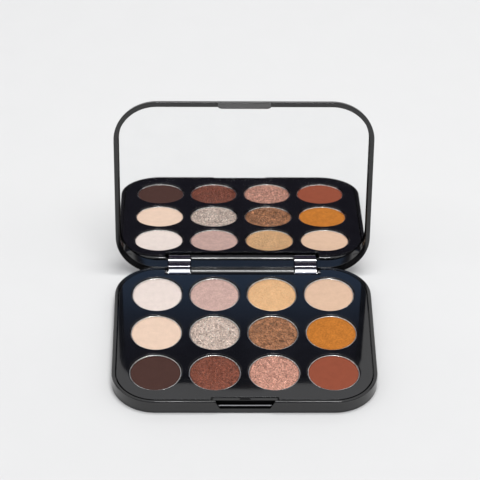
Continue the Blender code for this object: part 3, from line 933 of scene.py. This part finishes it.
# Near-black, dull material for the inside of the latch recess: painted shade, not the case plastic's own
# colour.
recess_painted_shade = painted_shade_black("recess_painted_shade", (0.001, 0.001, 0.0012))
hinge_steel = steel("hinge_steel", (0.74, 0.74, 0.76), 0.08, 0.0005 * MM)
pan_metal = steel("pan_metal", (0.88, 0.87, 0.85), 0.22, 0.003 * MM)

generator = np.random.default_rng(SEED)
base_shell(case_black, recess_painted_shade)
deck_tray([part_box(f"pan_r{row}c{column}") for row, column in POWDERS], deck_black)
for (row, column), (word, colour, finish) in POWDERS.items():
    pan(row, column, pan_metal)
    relief = FLAKE_RELIEF if finish in COARSE else SMOOTH_RELIEF
    look = powder(f"powder_{word}", colour, finish)
    clearance = TIGHT_CLEARANCE if finish in DULL else POWDER_CLEARANCE
    powder_cake(row, column, look, relief, clearance, generator)
steel_pin("catch_wire", "latch_pin", hinge_steel)
for word in ("left", "right"):
    steel_pin(f"pin_{word}", f"hinge_pin_{word}", hinge_steel)
lid_shell(case_black)
mirror(mirror_glass())
hinge_knuckle("left", -1, hinge_steel)
hinge_knuckle("right", 1, hinge_steel)
frame["nodes"]["mirror_adhesive"].data.materials.clear()
frame["nodes"]["mirror_adhesive"].data.materials.append(adhesive())

# ---------------------------------------------------------------- floor, light and camera
FLOOR_SIZE = 12.0
FLOOR_ALBEDO = 0.605
FLOOR_TONES = (FLOOR_ALBEDO * 0.995, FLOOR_ALBEDO * 1.005)
FLOOR_GRAIN = 20 * MM
DIM_BACK = (0.3, 0.3, 0.3)
BACKDROP = (0.86, 0.86, 0.86)
DARK = (0.03, 0.025, 0.04)
BLUE_GAP = (0.2, 0.34, 0.6)
SOFTBOX = (1.2, 1.2, 1.2)
LOW_BACK = (1.0, 1.0, 1.0)
# Surroundings by their angle in degrees, from the front horizon over the top to the back
SURROUNDINGS = (
    (0, BACKDROP), (5, BACKDROP), (9, DARK), (50, DARK), (52, BLUE_GAP), (54.3, BLUE_GAP), (55.6, DARK),
    (57.5, DARK), (61, SOFTBOX), (106, SOFTBOX), (112, DIM_BACK), (129, DIM_BACK), (133, BACKDROP),
    (146, BACKDROP), (152, LOW_BACK), (180, LOW_BACK),
)
STRIP_SIZE = (0.26, 0.10)
STRIP_HEIGHT = 1.0
STRIP_BEHIND = radians(4)
STRIP_RIGHT = 0.06
STRIP_WATTS = 3.32
FILL_SIZE = (1.6, 1.6)
FILL_PLACE = Vector((0.3, -0.9, 3.0))
FILL_WATTS = 46
CAMERA_ELEVATION = radians(39.634)
CAMERA_AZIMUTH = radians(1.2056)
CAMERA_ROLL = radians(0.839)
CAMERA_DISTANCE = 1104.97 * MM
CAMERA_AIM = Vector((-0.947, 65.73, 5.712)) * MM
CAMERA_LENS = 175.876
SENSOR_WIDTH = 36
CAMERA_REACH = 30


def floor():
    half = FLOOR_SIZE / 2
    bm = bmesh.new()
    corners = ((-half, -half, 0), (half, -half, 0), (half, half, 0), (-half, half, 0))
    bm.faces.new([bm.verts.new(corner) for corner in corners])
    ground = body_from(bm, "floor")
    look = Look("floor_paper", Roughness=0.9)
    tone = look.span(look.noise(FLOOR_GRAIN, detail=4.0), *FLOOR_TONES, start=0.3, end=0.7)
    look.use("Base Color", look.grey(tone))
    look.use("Specular IOR Level", 0.0)
    ground.data.materials.append(look.made)


def surroundings():
    """Bands of light and dark by their angle about X, as in a studio with flags and a softbox."""
    world = bpy.data.worlds.new("studio")
    bpy.context.scene.world = world
    world.use_nodes = True
    nodes, links = world.node_tree.nodes, world.node_tree.links
    direction = nodes.new("ShaderNodeSeparateXYZ")
    links.new(nodes.new("ShaderNodeTexCoord").outputs["Generated"], direction.inputs[0])
    front = nodes.new("ShaderNodeMath")
    front.operation = "MULTIPLY"
    front.inputs[1].default_value = -1.0
    links.new(direction.outputs["Y"], front.inputs[0])
    angle = nodes.new("ShaderNodeMath")
    angle.operation = "ARCTAN2"
    links.new(direction.outputs["Z"], angle.inputs[0])
    links.new(front.outputs[0], angle.inputs[1])
    share = nodes.new("ShaderNodeMath")
    share.operation = "DIVIDE"
    share.inputs[1].default_value = pi
    links.new(angle.outputs[0], share.inputs[0])
    ramp = nodes.new("ShaderNodeValToRGB")
    points = ramp.color_ramp.elements
    points[1].position = 1.0
    for degrees, _ in SURROUNDINGS[1:-1]:
        points.new(degrees / 180)
    for point, (_, colour) in zip(points, SURROUNDINGS):
        point.color = (*colour, 1.0)
    links.new(share.outputs[0], ramp.inputs[0])
    links.new(ramp.outputs[0], nodes["Background"].inputs["Color"])


def lamp(name, size, watts, place, turn):
    light = bpy.data.lights.new(name, "AREA")
    light.shape = "RECTANGLE"
    light.size, light.size_y = size
    light.energy = watts
    made = bpy.data.objects.new(name, light)
    made.location = place
    made.rotation_euler = turn
    bpy.context.scene.collection.objects.link(made)
    return made


def lamps():
    """A strip overhead that draws the highlights, and a broad fill that leaves none."""
    up = STRIP_HEIGHT * cos(STRIP_BEHIND)
    place = Vector((STRIP_RIGHT, hinge.y + STRIP_HEIGHT * sin(STRIP_BEHIND), up))
    lamp("strip", STRIP_SIZE, STRIP_WATTS, place, (-STRIP_BEHIND, 0, 0))
    facing = FILL_PLACE.to_track_quat("Z", "Y").to_euler()
    lamp("fill", FILL_SIZE, FILL_WATTS, FILL_PLACE, facing).visible_glossy = False


def camera():
    made = bpy.data.cameras.new("camera")
    made.lens = CAMERA_LENS
    made.sensor_width = SENSOR_WIDTH
    made.clip_end = CAMERA_REACH
    eye = bpy.data.objects.new("camera", made)
    flat = cos(CAMERA_ELEVATION)
    forward = Vector((sin(CAMERA_AZIMUTH) * flat, cos(CAMERA_AZIMUTH) * flat, -sin(CAMERA_ELEVATION)))
    across = Vector((cos(CAMERA_AZIMUTH), -sin(CAMERA_AZIMUTH), 0))
    right = across * cos(CAMERA_ROLL) + across.cross(forward) * sin(CAMERA_ROLL)
    turn = Matrix((right, right.cross(forward), -forward)).transposed().to_4x4()
    eye.matrix_world = Matrix.Translation(CAMERA_AIM - forward * CAMERA_DISTANCE) @ turn
    bpy.context.scene.collection.objects.link(eye)
    bpy.context.scene.camera = eye


floor()
surroundings()
lamps()
camera()
bpy.context.scene.view_settings.view_transform = "Standard"
